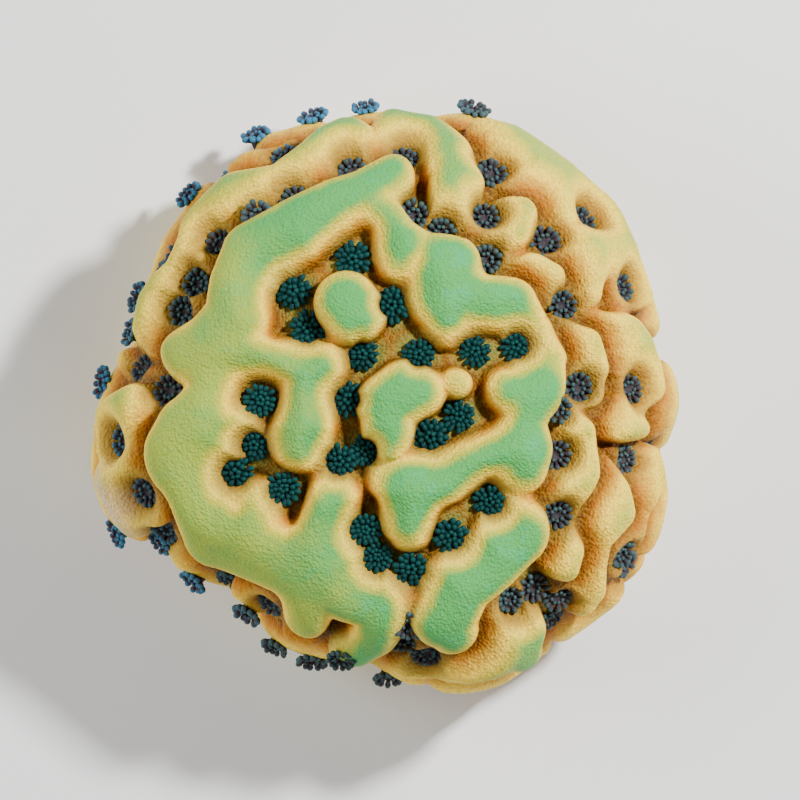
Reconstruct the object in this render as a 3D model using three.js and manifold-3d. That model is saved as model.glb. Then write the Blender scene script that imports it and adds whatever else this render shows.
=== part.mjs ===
// A small mounded montipora coral, cut off flat where it grew on the rock.
// Millimetres, +Z up. The origin is in the middle of the flat cut face that the colony rests on.
// A smooth mound carries winding ridges in tiers that overlap like shingles, with narrow valleys
// between them, and the polyps stand in the valleys. It all grew as one piece, so it is one
// closed solid.

import * as THREE from 'three';
import Module from 'manifold-3d';

// The mound under the ridges
const TOP_LEVEL = 9.3;
const WIDEST_LEVEL = 3.0;
const UNDERCUT = 1.7;
const BELOW_CUT = 1.0;
// Radius of the outline seen from above, every 11.25 degrees from +X towards +Y, and how far the
// ridges stand out there from the mound
const OUTLINE_RADII = [
  10.7, 10.35, 10.55, 10.8, 10.8, 10.8, 10.75, 10.3, 10.25, 10.2, 10.3, 10.15, 9.85, 9.75, 9.5, 9.4,
  10.1, 10.6, 10.75, 10.0, 9.4, 9.2, 9.7, 9.7, 9.85, 10.75, 11.2, 11.0, 11.2, 11.45, 11.05, 10.5,
];
const RIM_RELIEF = 0.95;
// Squareness of the shoulder, every 22.5 degrees
const SHOULDERS = [
  2.4, 2.35, 2.35, 2.4, 2.5, 2.6, 2.7, 2.75, 2.7, 2.75, 2.95, 3.1, 3.05, 2.85, 2.6, 2.45,
];

// Ridges: height over the mound, how far they spread past the lines given below, and the width
// of their rounded edge
const RIDGE_HEIGHT = 1.15;
const RIDGE_SPREAD = 0.16;
const ROUND_EDGE = 0.75;
const CREST_EASE = 0.3;
const FILLET = 0.35;
// Lower tiers come out from under the one above: share of their height there, the distance in
// which they rise to all of it, how distances count on their long inner slope, and the share of
// the height that the tiers on the flank have
const SEAM_SHARE = 0.3;
const TERRACE = 0.95;
const INNER_SLOPE = 0.55;
const FLANK_SHARE = 0.8;

// Polyps: crown of tentacles, its height, and the pit that each one stands in
const POLYP_RADIUS = 0.6;
const POLYP_HEIGHT = 0.42;
const POLYP_ROOT = 0.55;
const TENTACLES = 8;
// Level of the sunk mouth, and how far out and up the short tentacles reach, as shares
const MOUTH_LEVEL = 0.45;
const SHORT_TENTACLE = { out: 0.85, up: 0.7 };
const PIT_RADIUS = 0.4;
// The ridges slope down to the polyps: share of the height left beside one, where the slope
// starts and where it ends
const CROWN_DIP = { share: 0.55, start: 0.5, end: 2.0 };
const TIER_DIP = { share: 0.62, start: 0.4, end: 1.4 };
const TIER_POLYP_LEVEL = 0.4;
const POLYP_LEAN = 0.3;
// Polyps at the rim stand where the flank bulges farthest, between these map distances, and look
// up a little
const RIM_BULGE = { start: 9, end: 13, step: 0.2 };
const RIM_LEAN = 0.45;

// Faceting of the solid
const RINGS = 27;
const CROWN_DENSITY = 0.85;
const SAMPLES = 6;
const SAMPLE_SPREAD = 0.26;
const SPOKES = 240;
const STEPS = 300;
const STEEPEST = 0.5;
// Where a spoke starts beside the apex, and the step for reading its slope
const SPOKE_START = 1e-4;
const SLOPE_STEP = 0.004;
const GROUND_SIZE = 60;

// Ridges of the crown, tier 1: points on each ridge line seen from above, x, y, half width
const CROWN_RIDGES = [
  // long left ridge, from the top round the left side to the foot
  [[0.45, 7.9, 0.75], [-0.6, 7.3, 0.8], [-1.6, 6.8, 0.95], [-3.0, 5.9, 1.15], [-4.4, 5.1, 1.2],
    [-5.0, 4.0, 1.05], [-5.1, 2.8, 1.15], [-5.9, 1.7, 1.3], [-6.0, 0.0, 0.85], [-6.6, -1.5, 1.4],
    [-6.9, -2.2, 1.5], [-6.6, -3.4, 1.05], [-5.9, -4.8, 1.3], [-4.9, -5.3, 1.2], [-3.4, -6.0, 1.15],
    [-2.0, -6.3, 1.45], [-1.0, -7.0, 1.2], [0.1, -7.5, 1.05], [0.0, -8.6, 0.9], [-0.7, -9.3, 0.75],
    [-1.1, -9.4, 0.7]],
  // its side arms, inwards and outwards
  [[-6.8, 1.4, 1.1], [-5.4, 1.5, 0.95], [-4.0, 1.3, 0.75], [-2.6, 1.1, 0.85], [-2.0, 1.0, 0.85]],
  [[-2.3, 1.0, 0.8], [-2.6, 0.0, 0.9], [-2.6, -0.8, 1.05], [-2.8, -1.6, 1.15]],
  [[-6.6, -1.5, 1.2], [-5.2, -1.3, 0.9]],
  [[-4.4, -3.9, 0.85], [-4.8, -5.2, 1.0]],
  [[-1.6, -3.6, 0.9], [-2.0, -5.0, 0.95], [-2.4, -6.0, 1.2]],
  [[-2.4, -6.6, 1.0], [-2.6, -8.0, 0.75]],
  // upper middle tongue and its link to the right lobe
  [[-0.3, 6.9, 0.6], [0.3, 6.3, 0.6], [0.7, 5.3, 0.95], [0.7, 4.8, 0.75]],
  [[0.7, 5.3, 0.6], [1.6, 5.3, 0.5], [2.6, 4.7, 0.95]],
  // right lobe and right ridge
  [[2.4, 4.7, 0.9], [2.2, 3.5, 1.2], [2.4, 2.8, 0.95], [2.4, 2.2, 0.5]],
  [[2.2, 3.9, 1.1], [3.5, 3.3, 1.0], [4.7, 3.2, 0.95], [5.5, 2.3, 0.75], [5.9, 1.3, 0.8],
    [5.6, 0.3, 0.9], [5.2, -0.9, 0.75], [5.0, -2.0, 1.0], [5.0, -2.7, 0.9]],
  [[5.6, 0.3, 0.9], [4.6, 0.2, 0.8]],
  // lower middle band and the saddle up to the kidney-shaped lobe
  [[5.0, -2.0, 1.0], [3.6, -2.2, 0.8], [2.4, -2.9, 0.95], [1.2, -3.2, 1.15], [1.0, -4.4, 0.95],
    [1.1, -4.9, 0.7]],
  [[1.2, -3.2, 1.1], [0.3, -2.9, 0.7]],
  [[0.6, -2.9, 0.5], [0.3, -2.0, 0.5], [0.3, -1.3, 0.7]],
  // lower right lobe
  [[4.8, -4.9, 1.25], [4.0, -5.9, 1.1], [2.7, -6.8, 1.15], [2.4, -8.0, 1.05], [2.7, -8.5, 0.8]],
];

// Knobs of the crown, steep all round: a kidney-shaped one, a round one and a small one
const KNOBS = [
  [[0.3, -1.3, 0.75], [0.3, -0.3, 1.0], [0.9, 0.1, 1.05], [1.4, 0.1, 0.85]],
  [[-1.2, 3.3, 1.05], [-0.9, 2.9, 1.05]],
  [[2.7, 0.45, 0.45], [2.8, 0.4, 0.45]],
];
const KNOB_WALL = 0.15;

// Tier 2, half hidden under the crown's rim
const SECOND_RIDGES = [
  [[-1.2, 9.2, 1.0], [-2.3, 8.6, 0.9], [-3.5, 7.6, 0.8], [-5.0, 7.2, 0.95], [-6.2, 6.2, 0.9],
    [-7.0, 5.7, 0.7], [-8.0, 4.9, 0.5], [-7.8, 4.3, 0.6], [-7.9, 3.4, 0.95], [-8.3, 2.4, 0.8],
    [-8.8, 1.8, 0.45]],
  [[-8.1, -0.5, 0.5], [-9.0, -0.6, 0.8], [-9.9, -1.2, 0.75], [-10.0, -2.0, 0.6]],
  [[-9.5, -3.2, 0.95], [-9.0, -4.2, 0.85]],
  [[0.9, -9.6, 0.5], [1.5, -10.0, 0.6], [2.6, -9.9, 0.7], [4.0, -9.3, 1.0], [4.9, -8.7, 1.2],
    [5.1, -9.3, 1.0]],
  [[6.7, -0.7, 0.5], [7.15, -1.3, 0.62], [7.2, -2.9, 0.62], [6.8, -4.0, 0.5], [6.6, -4.8, 0.45],
    [6.75, -5.6, 0.6], [6.6, -6.1, 0.62]],
  [[6.6, 2.4, 0.5], [7.3, 1.8, 0.7], [7.6, 0.8, 0.7], [7.7, 0.1, 0.5]],
  [[4.2, 5.6, 0.55], [4.65, 6.35, 0.88], [4.95, 6.35, 0.82]],
  [[4.6, 4.5, 0.4], [5.6, 4.4, 0.72], [6.05, 4.1, 0.7]],
  [[0.6, 9.9, 0.8], [1.8, 9.6, 0.75], [2.8, 8.6, 0.75], [2.9, 7.8, 0.9], [2.7, 6.8, 0.85],
    [2.9, 6.2, 0.7]],
];

// Tier 3, the outermost ridges that show from above
const THIRD_RIDGES = [
  [[-9.4, 1.1, 0.65], [-9.2, 1.0, 0.6]],
  [[-8.0, -5.2, 0.5], [-7.5, -5.9, 0.5]],
  [[-5.0, -7.2, 0.5], [-4.4, -8.0, 0.5], [-4.0, -8.3, 0.3]],
  [[-3.2, -9.0, 0.4], [-2.5, -9.1, 0.4]],
  [[8.0, -2.7, 0.4], [8.45, -3.6, 0.55], [8.55, -4.4, 0.6], [7.9, -5.3, 0.45], [7.75, -6.2, 0.5],
    [7.75, -7.0, 0.55], [7.4, -7.5, 0.6]],
  [[8.8, -0.95, 0.7], [9.2, -1.1, 0.65]],
  [[8.0, 2.5, 0.55], [8.8, 2.2, 0.8], [9.3, 1.7, 0.7], [9.85, 0.8, 0.5], [9.95, 0.2, 0.5],
    [9.7, -0.15, 0.4]],
  [[4.05, 9.45, 0.75], [4.8, 9.35, 0.75], [5.85, 8.6, 0.7], [6.65, 8.0, 0.7], [6.5, 7.1, 0.5],
    [6.6, 5.9, 0.5], [7.5, 5.1, 0.7], [7.4, 4.3, 0.65], [7.5, 3.7, 0.5]],
  [[7.15, 7.65, 0.65], [8.2, 6.95, 0.65], [8.75, 6.25, 0.65], [9.05, 5.4, 0.65], [9.4, 4.7, 0.5],
    [9.75, 3.85, 0.5]],
  [[8.3, 5.5, 0.4], [7.5, 5.2, 0.5]],
  [[-3.4, 9.2, 0.55], [-4.5, 8.8, 0.45], [-5.3, 8.5, 0.4]],
  [[-6.2, 7.6, 0.35], [-6.1, 7.6, 0.35]],
];

// Tier 4, under the outermost of those on the right
const FOURTH_RIDGES = [
  [[9.75, -2.4, 0.55], [9.85, -3.2, 0.6], [9.6, -3.9, 0.55]],
  [[9.25, -4.8, 0.55], [9.2, -5.6, 0.6], [8.8, -6.3, 0.55]],
];

// Tiers 5 and 6 wind round the flank below what shows from above: ridges in the round, distance
// down the flank from the apex, half width, and whether polyps stand between them
const FLANK_TIERS = [
  { count: 16, reach: 12.3, halfWidth: 0.68, polyps: true },
  { count: 15, reach: 13.8, halfWidth: 0.64, polyps: false },
];
const FLANK_SEED = 20;
// How those ridges are drawn: shift round the colony and length, both as shares of their spacing,
// how far they swing up or down, unevenness of their line and width, and the distance that the
// polyps stand above them
const FLANK_DRAW = { shift: 0.2, length: [0.45, 0.85], swing: 0.8, uneven: 0.25, width: [-0.12, 0.15] };
const FLANK_POLYP_RISE = 0.6;
// The search for a low place for such a polyp: trials on a spiral, its step and turn, least gain
const SETTLE = { trials: 24, step: 0.2, turn: 2.4, gain: 0.02 };

// Polyps of the crown, seen from above: x, y
const CROWN_POLYPS = [
  [-3.0, 3.6], [-0.95, 4.7], [-2.5, 2.3], [-0.6, 1.4], [0.4, 3.1], [1.35, 1.4], [3.3, 1.5], [4.7, 1.7],
  [-1.1, -0.15], [2.75, -0.75], [1.75, -1.45], [-0.5, -1.95], [-1.4, -2.3], [-3.3, -3.2],
  [-5.0, -2.7], [-4.35, -1.75], [-4.15, -0.2], [-0.5, -4.65], [-0.05, -5.6], [1.1, -6.0],
  [2.45, -4.9], [3.8, -3.7],
];

// Polyps between the tiers
const TIER_POLYPS = [
  [1.2, 6.4], [2.2, 5.75], [0.9, 8.4], [-1.0, 8.0], [-3.0, 6.95], [-4.2, 6.2], [-5.7, 5.4],
  [-7.25, 5.0], [-6.5, 4.0], [-7.0, 3.0], [-3.4, 8.55], [-5.4, 8.15], [-8.5, 0.9], [-7.5, 0.1],
  [-9.15, -1.7], [-8.35, -3.45], [-7.65, -4.75], [-5.7, -6.9], [-3.85, -7.5], [-1.25, -8.55],
  [1.15, -7.9], [0.9, -8.75], [1.75, -9.25], [4.0, 7.9], [3.75, 6.3], [3.8, 4.8],
  [5.9, 5.45], [7.25, 6.25], [8.6, 3.85], [6.5, 3.2], [7.05, 0.25], [8.95, 0.2], [6.1, -0.45],
  [6.25, -2.15], [8.75, -2.35], [6.3, -4.25], [8.65, -5.7], [5.5, -6.9],
  [4.6, -7.3], [6.4, -7.25],
];

// Polyps that stand out past the rim
const RIM_POLYPS = [
  [-6.75, 7.1], [-4.5, 9.4], [-9.1, 3.7], [-9.6, 2.4], [-10.15, 0.45], [-8.4, -5.6], [-9.4, -4.95],
  [-5.0, -8.25], [-3.65, -8.75], [-2.5, -9.75], [0.3, -9.9], [-6.6, -6.6], [-0.5, 10.35],
  [-2.4, 10.1], [3.3, 10.1],
];

// A value given round the colony, eased between its neighbours
function around(values, angle) {
  const n = values.length;
  const place = ((angle / (2 * Math.PI)) * n + n) % n;
  const k = Math.floor(place) % n;
  const f = place - Math.floor(place);
  const before = values[(k + n - 1) % n];
  const start = values[k];
  const end = values[(k + 1) % n];
  const after = values[(k + 2) % n];
  const curve = 2 * before - 5 * start + 4 * end - after + f * (3 * (start - end) + after - before);
  return start + 0.5 * f * (end - before + f * curve);
}

// The mound's outline on one side: a superellipse above the widest level, an undercut below it
function outline(angle, t) {
  const widest = around(OUTLINE_RADII, angle) - RIM_RELIEF;
  if (t <= 1) {
    const power = 2 / around(SHOULDERS, angle);
    const turn = (t * Math.PI) / 2;
    const radius = widest * Math.pow(Math.sin(turn), power);
    const level = (TOP_LEVEL - WIDEST_LEVEL) * Math.pow(Math.max(Math.cos(turn), 0), power);
    return [radius, WIDEST_LEVEL + level];
  }
  const down = t - 1;
  return [widest - UNDERCUT * down * down, WIDEST_LEVEL - (WIDEST_LEVEL + BELOW_CUT) * down];
}

// Down each spoke of the mound: point, outward normal, and how far out it lies on the map.
// The map is the view from above, opened out where the flank is steep.
function makeSpokes() {
  const spokes = [];
  const step = (2 * Math.PI) / SPOKES;
  for (let i = 0; i < SPOKES; i += 1) {
    const angle = i * step;
    const spoke = [];
    for (let j = 0; j <= STEPS; j += 1) {
      const t = Math.max((2 * j) / STEPS, SPOKE_START);
      const here = outline(angle, t);
      const above = outline(angle, Math.max(t - SLOPE_STEP, 0));
      const below = outline(angle, t + SLOPE_STEP);
      const left = outline(angle + step, t);
      const right = outline(angle - step, t);
      const down = new THREE.Vector3(below[0] - above[0], 0, below[1] - above[1]);
      const along = new THREE.Vector3(left[0] - right[0], 2 * step * here[0], left[1] - right[1]);
      const normal = new THREE.Vector3().crossVectors(down, along).normalize();
      const lifted = [here[0] + RIDGE_HEIGHT * normal.x, here[1] + RIDGE_HEIGHT * normal.z];
      let reach = 0;
      if (j > 0) {
        const last = spoke[j - 1];
        const outward = lifted[0] - last.lifted[0];
        const length = Math.hypot(outward, lifted[1] - last.lifted[1]);
        reach = last.reach + Math.max(outward, STEEPEST * length);
      }
      spoke.push({ radius: here[0], level: here[1], normal, lifted, reach });
    }
    spokes.push(spoke);
  }
  return spokes;
}

const spokes = makeSpokes();

// The place on one spoke where a rising quantity reaches a value
function findOnSpoke(spoke, value, measure) {
  let low = 0;
  let high = spoke.length - 1;
  while (high - low > 1) {
    const middle = (low + high) >> 1;
    if (measure(spoke[middle]) > value) high = middle;
    else low = middle;
  }
  const start = measure(spoke[low]);
  const part = (value - start) / Math.max(measure(spoke[high]) - start, 1e-9);
  return low + Math.min(Math.max(part, 0), 1);
}

function readSpoke(spoke, place) {
  const k = Math.min(Math.floor(place), spoke.length - 2);
  const f = place - k;
  const a = spoke[k];
  const b = spoke[k + 1];
  const mix = (p, q) => p + (q - p) * f;
  return [mix(a.radius, b.radius), mix(a.level, b.level), mix(a.normal.x, b.normal.x),
    mix(a.normal.y, b.normal.y), mix(a.normal.z, b.normal.z)];
}

// The mound's point and normal under a place on the map
function moundAt(x, y) {
  const angle = (Math.atan2(y, x) + 2 * Math.PI) % (2 * Math.PI);
  const reach = Math.hypot(x, y);
  const place = (angle / (2 * Math.PI)) * SPOKES;
  const k = Math.floor(place) % SPOKES;
  const f = place - Math.floor(place);
  const one = readSpoke(spokes[k], findOnSpoke(spokes[k], reach, (p) => p.reach));
  const next = spokes[(k + 1) % SPOKES];
  const two = readSpoke(next, findOnSpoke(next, reach, (p) => p.reach));
  const [radius, level, nr, na, nz] = one.map((value, i) => value + (two[i] - value) * f);
  const c = Math.cos(angle);
  const s = Math.sin(angle);
  const point = new THREE.Vector3(radius * c, radius * s, level);
  const normal = new THREE.Vector3(nr * c - na * s, nr * s + na * c, nz).normalize();
  return { point, normal };
}

function rimReach(angle) {
  const place = (((angle / (2 * Math.PI)) * SPOKES) + SPOKES) % SPOKES;
  const k = Math.floor(place) % SPOKES;
  const f = place - Math.floor(place);
  return spokes[k][STEPS].reach * (1 - f) + spokes[(k + 1) % SPOKES][STEPS].reach * f;
}

// The map place of something seen from above at x, y, at this height over the mound
function mapPlace(x, y, height) {
  const angle = (Math.atan2(y, x) + 2 * Math.PI) % (2 * Math.PI);
  const spoke = spokes[Math.round((angle / (2 * Math.PI)) * SPOKES) % SPOKES];
  const upper = spoke.slice(0, STEPS / 2);
  const place = findOnSpoke(upper, Math.hypot(x, y), (p) => p.radius + height * p.normal.x);
  const k = Math.min(Math.floor(place), upper.length - 2);
  const reach = upper[k].reach + (upper[k + 1].reach - upper[k].reach) * (place - k);
  return [reach * Math.cos(angle), reach * Math.sin(angle)];
}

function seededRandom(seed) {
  let state = seed;
  return (low, high) => {
    state = (Math.imul(state, 1664525) + 1013904223) >>> 0;
    return low + ((high - low) * state) / 4294967296;
  };
}

// Ridges and polyps of the flank tiers, in the same map
function makeFlank() {
  const random = seededRandom(FLANK_SEED);
  const tiers = [];
  const places = [];
  FLANK_TIERS.forEach(({ count, reach, halfWidth, polyps }, tier) => {
    const pitch = (2 * Math.PI) / count;
    const ridges = [];
    for (let i = 0; i < count; i += 1) {
      const middle = (i + 0.5 * (tier % 2) + random(-FLANK_DRAW.shift, FLANK_DRAW.shift)) * pitch;
      const span = random(...FLANK_DRAW.length) * pitch;
      const swing = random(-FLANK_DRAW.swing, FLANK_DRAW.swing);
      const ridge = [-0.5, 0, 0.5].map((side) => {
        const angle = middle + side * span;
        const out = reach + side * swing + random(-FLANK_DRAW.uneven, FLANK_DRAW.uneven);
        const half = halfWidth + random(...FLANK_DRAW.width);
        return [out * Math.cos(angle), out * Math.sin(angle), half];
      });
      ridges.push(ridge);
      const gap = middle + 0.5 * pitch;
      const above = reach - FLANK_POLYP_RISE;
      if (polyps) places.push([above * Math.cos(gap), above * Math.sin(gap)]);
    }
    tiers.push(ridges);
  });
  return { tiers, places };
}

// How far inside a ridge's edge a map place lies; below zero it is in a valley. Distances towards
// the middle of the colony count by the given share.
function insideRidge(x, y, ridge, inward) {
  let best = -Infinity;
  for (let i = 0; i + 1 < ridge.length; i += 1) {
    const [x0, y0, r0] = ridge[i];
    const [x1, y1, r1] = ridge[i + 1];
    const dx = x1 - x0;
    const dy = y1 - y0;
    const along = ((x - x0) * dx + (y - y0) * dy) / (dx * dx + dy * dy);
    const t = Math.min(Math.max(along, 0), 1);
    const half = r0 + (r1 - r0) * t + RIDGE_SPREAD;
    const line = new THREE.Vector2(x0 + t * dx, y0 + t * dy);
    const away = new THREE.Vector2(x, y).sub(line);
    const ahead = Math.max(-away.dot(line) / line.length(), 0);
    const distance = Math.sqrt(away.lengthSq() - (1 - inward * inward) * ahead * ahead);
    best = Math.max(best, Math.hypot(half, CREST_EASE) - Math.hypot(distance, CREST_EASE));
  }
  return best;
}

function joinSoftly(a, b) {
  const near = Math.max(FILLET - Math.abs(a - b), 0) / FILLET;
  return Math.max(a, b) + (near * near * FILLET) / 4;
}

const flank = makeFlank();
const upperTiers = [[...CROWN_RIDGES, ...KNOBS], SECOND_RIDGES, THIRD_RIDGES, FOURTH_RIDGES];
const tiers = [...upperTiers, ...flank.tiers];

// How far inside its edge a tier counts at most, this far out from the tier above it
function terraceLimit(away) {
  if (away <= 0) return 0;
  const share = SEAM_SHARE + (1 - SEAM_SHARE) * THREE.MathUtils.smoothstep(away, 0, TERRACE);
  return ROUND_EDGE * (1 - Math.sqrt(1 - share * share));
}

// The same for all the ridges, and which tier it is. The crown leaves room for its own polyps
// only, so it hangs over those at its foot.
function insideLand(x, y, toCrownPolyp = Infinity, toTierPolyp = Infinity) {
  let land = -Infinity;
  let owner = 0;
  tiers.forEach((ridges, tier) => {
    const inward = tier > 0 ? INNER_SLOPE : 1;
    const edge = ridges.map((ridge) => insideRidge(x, y, ridge, inward)).reduce(joinSoftly);
    const toPolyp = tier > 0 ? toTierPolyp : toCrownPolyp;
    const limit = tier > 0 ? terraceLimit(-land) : Infinity;
    const inside = Math.min(edge, limit, toPolyp - PIT_RADIUS);
    if (inside > land) owner = tier;
    land = Math.max(land, inside);
  });
  return { land, owner };
}

// A place for a polyp in the lowest valley close by
function settle([x, y]) {
  let best = [x, y];
  for (let i = 0; i < SETTLE.trials; i += 1) {
    const turn = i * SETTLE.turn;
    const away = SETTLE.step * Math.sqrt(i);
    const trial = [x + away * Math.cos(turn), y + away * Math.sin(turn)];
    if (insideLand(...trial).land < insideLand(...best).land - SETTLE.gain) best = trial;
  }
  return best;
}

const crownPlaces = CROWN_POLYPS.map(([x, y]) => mapPlace(x, y, 0));
const tierPlaces = TIER_POLYPS.map(([x, y]) => mapPlace(x, y, TIER_POLYP_LEVEL));
const flankPlaces = flank.places.map(settle);
const crownPoints = crownPlaces.map(([x, y]) => moundAt(x, y).point);
const tierPoints = [...tierPlaces, ...flankPlaces].map(([x, y]) => moundAt(x, y).point);

function nearest(point, centres) {
  return Math.min(...centres.map((centre) => centre.distanceTo(point)));
}

// The share of the height that is left this far from a polyp
function dip(away, { share, start, end }) {
  return share + (1 - share) * THREE.MathUtils.smoothstep(away, start, end);
}

// Height of the coral over the mound at a map place
function ridgeHeight(x, y, point) {
  const toCrownPolyp = nearest(point, crownPoints);
  const toTierPolyp = nearest(point, tierPoints);
  const { land, owner } = insideLand(x, y, toCrownPolyp, toTierPolyp);
  const inside = Math.min(Math.max(land / ROUND_EDGE, 0), 1);
  const full = RIDGE_HEIGHT * (owner < upperTiers.length ? 1 : FLANK_SHARE);
  const height = full * Math.sqrt(1 - (1 - inside) * (1 - inside));
  const knob = Math.max(...KNOBS.map((ridge) => insideRidge(x, y, ridge, 1)));
  const steep = THREE.MathUtils.smoothstep(knob, -KNOB_WALL, KNOB_WALL);
  const slope = dip(toCrownPolyp, CROWN_DIP);
  return height * (slope + (1 - slope) * steep) * (owner > 0 ? dip(toTierPolyp, TIER_DIP) : 1);
}

// A point of the skin: its height is the mean of samples there and around it, so that no cleft
// is missed
function surfaceAt(x, y) {
  const { point, normal } = moundAt(x, y);
  let height = ridgeHeight(x, y, point);
  for (let i = 0; i < SAMPLES; i += 1) {
    const turn = (i / SAMPLES) * 2 * Math.PI;
    const u = x + SAMPLE_SPREAD * Math.cos(turn);
    const v = y + SAMPLE_SPREAD * Math.sin(turn);
    height += ridgeHeight(u, v, moundAt(u, v).point);
  }
  return { position: point.clone().addScaledVector(normal, height / (SAMPLES + 1)), normal };
}

// The colony's skin, in rings of six more facets each, closed below the cut
function makeColonySkin() {
  const vertices = [];
  const ringStart = (ring) => 1 + 3 * ring * (ring - 1);
  const vertexOf = (ring, i) => (ring === 0 ? 0 : ringStart(ring) + (i % (6 * ring)));
  for (let ring = 0; ring <= RINGS; ring += 1) {
    const count = Math.max(6 * ring, 1);
    const part = ring / RINGS;
    const share = CROWN_DENSITY * part + (1 - CROWN_DENSITY) * part * part;
    for (let i = 0; i < count; i += 1) {
      const angle = (i / count) * 2 * Math.PI;
      const reach = share * rimReach(angle);
      const { position } = surfaceAt(reach * Math.cos(angle), reach * Math.sin(angle));
      vertices.push(...position.toArray());
    }
  }
  const faces = [];
  for (let ring = 1; ring <= RINGS; ring += 1) {
    for (let side = 0; side < 6; side += 1) {
      for (let i = 0; i < ring; i += 1) {
        const a = vertexOf(ring, side * ring + i);
        const b = vertexOf(ring, side * ring + i + 1);
        const c = vertexOf(ring - 1, side * (ring - 1) + i);
        faces.push(a, b, c);
        if (i < ring - 1) faces.push(b, vertexOf(ring - 1, side * (ring - 1) + i + 1), c);
      }
    }
  }
  const middle = vertices.length / 3;
  vertices.push(0, 0, -2 * BELOW_CUT - RIDGE_HEIGHT);
  for (let i = 0; i < 6 * RINGS; i += 1) {
    faces.push(vertexOf(RINGS, i + 1), vertexOf(RINGS, i), middle);
  }
  return { vertices, faces };
}

// One polyp: a sunk mouth, tentacle tips long and short in turn, and a root in the coral
function makePolyp(position, axis, turn) {
  const side = new THREE.Vector3(1, 0, 0).cross(axis).normalize();
  const across = new THREE.Vector3().crossVectors(axis, side);
  const vertices = [];
  const add = (radius, angle, height) => {
    const vertex = position.clone().addScaledVector(axis, height);
    vertex.addScaledVector(side, radius * Math.cos(angle));
    vertex.addScaledVector(across, radius * Math.sin(angle));
    vertices.push(...vertex.toArray());
  };
  add(0, 0, MOUTH_LEVEL * POLYP_HEIGHT);
  add(0, 0, -POLYP_ROOT);
  const faces = [];
  for (let i = 0; i < TENTACLES; i += 1) {
    const { out, up } = i % 2 === 0 ? { out: 1, up: 1 } : SHORT_TENTACLE;
    const angle = turn + (i / TENTACLES) * 2 * Math.PI;
    add(POLYP_RADIUS * out, angle, POLYP_HEIGHT * up);
    const here = 2 + i;
    const next = 2 + ((i + 1) % TENTACLES);
    faces.push(0, here, next, 1, next, here);
  }
  return { vertices, faces };
}

// A polyp in a valley faces outwards, and a little up on the flank
function valleyStand([x, y]) {
  const { position, normal } = surfaceAt(x, y);
  const axis = normal.clone().addScaledVector(new THREE.Vector3(0, 0, 1), POLYP_LEAN).normalize();
  return { position, axis };
}

// A polyp at the rim stands out past the bulge of the flank on its side of the colony
function rimStand([x, y]) {
  const outward = new THREE.Vector3(x, y, 0).normalize();
  let position = new THREE.Vector3();
  for (let reach = RIM_BULGE.start; reach < RIM_BULGE.end; reach += RIM_BULGE.step) {
    const trial = surfaceAt(reach * outward.x, reach * outward.y).position;
    if (trial.dot(outward) > position.dot(outward)) position = trial;
  }
  return { position, axis: outward.clone().setZ(RIM_LEAN).normalize() };
}

function polypStands() {
  const valleys = [...crownPlaces, ...tierPlaces, ...flankPlaces];
  return [...valleys.map(valleyStand), ...RIM_POLYPS.map(rimStand)];
}

const wasm = await Module();
wasm.setup();

function toSolid({ vertices, faces }) {
  return new wasm.Manifold(new wasm.Mesh({
    numProp: 3,
    vertProperties: new Float32Array(vertices),
    triVerts: new Uint32Array(faces),
  }));
}

function groundBlock() {
  const box = new THREE.BoxGeometry(GROUND_SIZE, GROUND_SIZE, GROUND_SIZE);
  box.translate(0, 0, -GROUND_SIZE / 2);
  const corners = [];
  const faces = [];
  const seen = new Map();
  const place = box.attributes.position;
  for (let i = 0; i < box.index.count; i += 1) {
    const k = box.index.getX(i);
    const corner = [place.getX(k), place.getY(k), place.getZ(k)];
    const key = corner.join();
    if (!seen.has(key)) {
      seen.set(key, corners.length / 3);
      corners.push(...corner);
    }
    faces.push(seen.get(key));
  }
  return toSolid({ vertices: corners, faces });
}

// The outer shell of a mesh: pockets closed in between a polyp and a ridge are filled
function outerShell({ vertProperties, triVerts }) {
  const parent = Array.from({ length: vertProperties.length / 3 }, (_, i) => i);
  const root = (i) => {
    let k = i;
    while (parent[k] !== k) k = parent[k];
    parent[i] = k;
    return k;
  };
  for (let i = 0; i < triVerts.length; i += 3) {
    parent[root(triVerts[i + 1])] = root(triVerts[i]);
    parent[root(triVerts[i + 2])] = root(triVerts[i]);
  }
  const sizes = new Map();
  triVerts.forEach((vertex) => sizes.set(root(vertex), (sizes.get(root(vertex)) ?? 0) + 1));
  const largest = [...sizes].sort((a, b) => b[1] - a[1])[0][0];
  const moved = new Map();
  const points = [];
  const faces = [];
  triVerts.forEach((vertex) => {
    if (root(vertex) !== largest) return;
    if (!moved.has(vertex)) {
      moved.set(vertex, points.length / 3);
      points.push(...vertProperties.subarray(3 * vertex, 3 * vertex + 3));
    }
    faces.push(moved.get(vertex));
  });
  return { points, faces };
}

// Polyps are fused to the colony that they grow from, and all of it is cut flat at the base
function makeColony() {
  let colony = toSolid(makeColonySkin());
  polypStands().forEach(({ position, axis }, i) => {
    colony = colony.add(toSolid(makePolyp(position, axis, i)));
  });
  const { points, faces } = outerShell(colony.subtract(groundBlock()).getMesh());
  const geometry = new THREE.BufferGeometry();
  geometry.setAttribute('position', new THREE.Float32BufferAttribute(points, 3));
  geometry.setIndex(faces);
  geometry.computeVertexNormals();
  const material = new THREE.MeshStandardMaterial({ color: 0xc9c78a, roughness: 0.55, metalness: 0 });
  const mesh = new THREE.Mesh(geometry, material);
  mesh.name = 'coral_colony';
  return mesh;
}

const montipora = new THREE.Group();
montipora.add(makeColony());

export default montipora;
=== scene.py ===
"""A small mounded montipora coral: living tissue over its ridges, and the polyps in the valleys.

Lengths are in millimetres until MM turns them into metres. Mound is the smooth body under the
ridges, and Colony says how high the ridges stand on it. Both are read by map place: the view from
above, opened out on the steep flank. The tissue is one grid laid over that map and lifted.
"""
import math

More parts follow.
